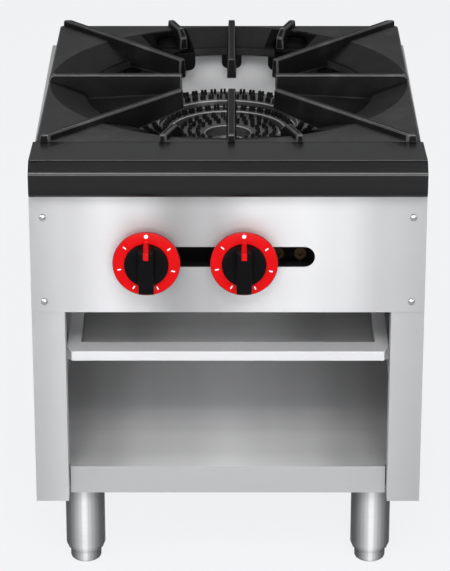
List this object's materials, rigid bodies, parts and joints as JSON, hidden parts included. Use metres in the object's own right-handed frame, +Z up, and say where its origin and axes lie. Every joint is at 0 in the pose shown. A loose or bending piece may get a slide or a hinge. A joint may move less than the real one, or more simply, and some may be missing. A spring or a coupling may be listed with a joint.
{
  "type": "single burner gas stove",
  "caption": "Floor-standing single stock-pot gas range: stainless body on short legs, cast grate, black front ledge, red dials, open storage shelf and drip tray.",
  "frame": {"origin": "on the floor, under the middle of the whole stove's box", "axes": "+X to the right seen from the front, +Y from the knobs to the back, +Z up"},
  "size_m": [0.457, 0.5802, 0.549],
  "materials": {
    "cast_iron_grate": "black cast iron, fine sand-cast grain",
    "black_enamel": "satin black enamel",
    "panel_steel": "brushed stainless steel",
    "liner_steel": "mill-finish stainless steel",
    "shelf_steel": "brushed stainless steel",
    "tray_steel": "folded stainless sheet",
    "galvanised_steel": "galvanised sheet, dull",
    "cast_iron_burner": "bare cast iron, dark grey",
    "valve_brass": "machined brass",
    "screw_steel": "polished steel",
    "red_plastic": "glossy red plastic",
    "black_plastic": "satin black plastic",
    "red_pointer": "glossy red plastic",
    "black_iron_pipe": "black steel pipe",
    "aluminium_tube": "drawn aluminium tube",
    "leg_steel": "polished stainless tube",
    "foot_steel": "turned stainless foot"
  },
  "bodies": {
    "stove": {"front_ledge": "black_enamel", "control_panel": "panel_steel", "side_panel_left": "panel_steel", "side_panel_right": "panel_steel", "side_liner_left": "liner_steel", "side_liner_right": "liner_steel", "back_panel": "panel_steel", "rear_liner": "liner_steel", "front_heat_shield": "galvanised_steel", "grate_rest_rail": "galvanised_steel", "bottom_shelf": "shelf_steel", "base_channel_left": "galvanised_steel", "base_channel_right": "galvanised_steel", "tray_rail_left": "galvanised_steel", "tray_rail_right": "galvanised_steel", "burner_outer": "cast_iron_burner", "burner_inner": "cast_iron_burner", "port_ring_upper": "cast_iron_burner", "port_ring_lower": "cast_iron_burner", "port_ring_inner": "cast_iron_burner", "burner_bar_front": "galvanised_steel", "burner_bar_rear": "galvanised_steel", "mixer_tube_outer": "cast_iron_burner", "mixer_tube_inner": "cast_iron_burner", "orifice_hoods": "valve_brass", "gas_valve_left": "valve_brass", "gas_valve_right": "valve_brass", "manifold_pipe": "black_iron_pipe", "manifold_brackets": "galvanised_steel", "supply_pipe": "black_iron_pipe", "gas_elbow": "black_iron_pipe", "pilot_valves": "valve_brass", "pilot_tube_left": "aluminium_tube", "pilot_tube_right": "aluminium_tube", "pilot_heads": "screw_steel", "leg_front_left": "leg_steel", "leg_front_right": "leg_steel", "leg_rear_left": "leg_steel", "leg_rear_right": "leg_steel", "leg_plates": "galvanised_steel", "leg_nuts": "galvanised_steel", "panel_screws": "screw_steel", "back_screws": "screw_steel", "leg_screws": "screw_steel", "rail_screws": "screw_steel"},
    "grate": {"top_grate": "cast_iron_grate", "grate_skirt": "cast_iron_grate", "grate_ribs": "cast_iron_grate", "grate_lugs": "cast_iron_grate"},
    "tray": {"drip_tray": "tray_steel", "tray_rim": "tray_steel"},
    "knob_left": {"valve_stem_left": "screw_steel", "knob_dial_left": "red_plastic", "knob_grip_left": "black_plastic", "knob_pointer_left": "red_pointer"},
    "knob_right": {"valve_stem_right": "screw_steel", "knob_dial_right": "red_plastic", "knob_grip_right": "black_plastic", "knob_pointer_right": "red_pointer"},
    "shutter_outer": {"air_shutter_outer": "galvanised_steel"},
    "shutter_inner": {"air_shutter_inner": "galvanised_steel"},
    "levelling_front_left": {"foot_front_left": "foot_steel"},
    "levelling_front_right": {"foot_front_right": "foot_steel"},
    "levelling_rear_left": {"foot_rear_left": "foot_steel"},
    "levelling_rear_right": {"foot_rear_right": "foot_steel"}
  },
  "joints": [
    {"name": "grate_lift", "type": "slide", "parent": "stove", "child": "grate", "axis": [0, 0, 1], "range_m": [0, 0.15]},
    {"name": "tray_pull", "type": "slide", "parent": "stove", "child": "tray", "axis": [0, -1, 0], "range_m": [0, 0.42]},
    {"name": "knob_turn_left", "type": "hinge", "parent": "stove", "child": "knob_left", "pos_m": [-0.0937, -0.2691, 0.419], "axis": [0, -1, 0], "range_deg": [0, 154.29]},
    {"name": "knob_turn_right", "type": "hinge", "parent": "stove", "child": "knob_right", "pos_m": [0.0185, -0.2691, 0.419], "axis": [0, -1, 0], "range_deg": [0, 154.29]},
    {"name": "air_shutter_turn_outer", "type": "hinge", "parent": "stove", "child": "shutter_outer", "pos_m": [-0.0937, -0.1684, 0.419], "axis": [0, 1, 0], "range_deg": [-40, 0]},
    {"name": "air_shutter_turn_inner", "type": "hinge", "parent": "stove", "child": "shutter_inner", "pos_m": [0.0185, -0.1684, 0.419], "axis": [0, 1, 0], "range_deg": [-40, 0]},
    {"name": "levelling_front_left_screw", "type": "slide", "parent": "stove", "child": "levelling_front_left", "axis": [0, 0, -1], "range_m": [0, 0.025]},
    {"name": "levelling_front_right_screw", "type": "slide", "parent": "stove", "child": "levelling_front_right", "axis": [0, 0, -1], "range_m": [0, 0.025]},
    {"name": "levelling_rear_left_screw", "type": "slide", "parent": "stove", "child": "levelling_rear_left", "axis": [0, 0, -1], "range_m": [0, 0.025]},
    {"name": "levelling_rear_right_screw", "type": "slide", "parent": "stove", "child": "levelling_rear_right", "axis": [0, 0, -1], "range_m": [0, 0.025]}
  ]
}
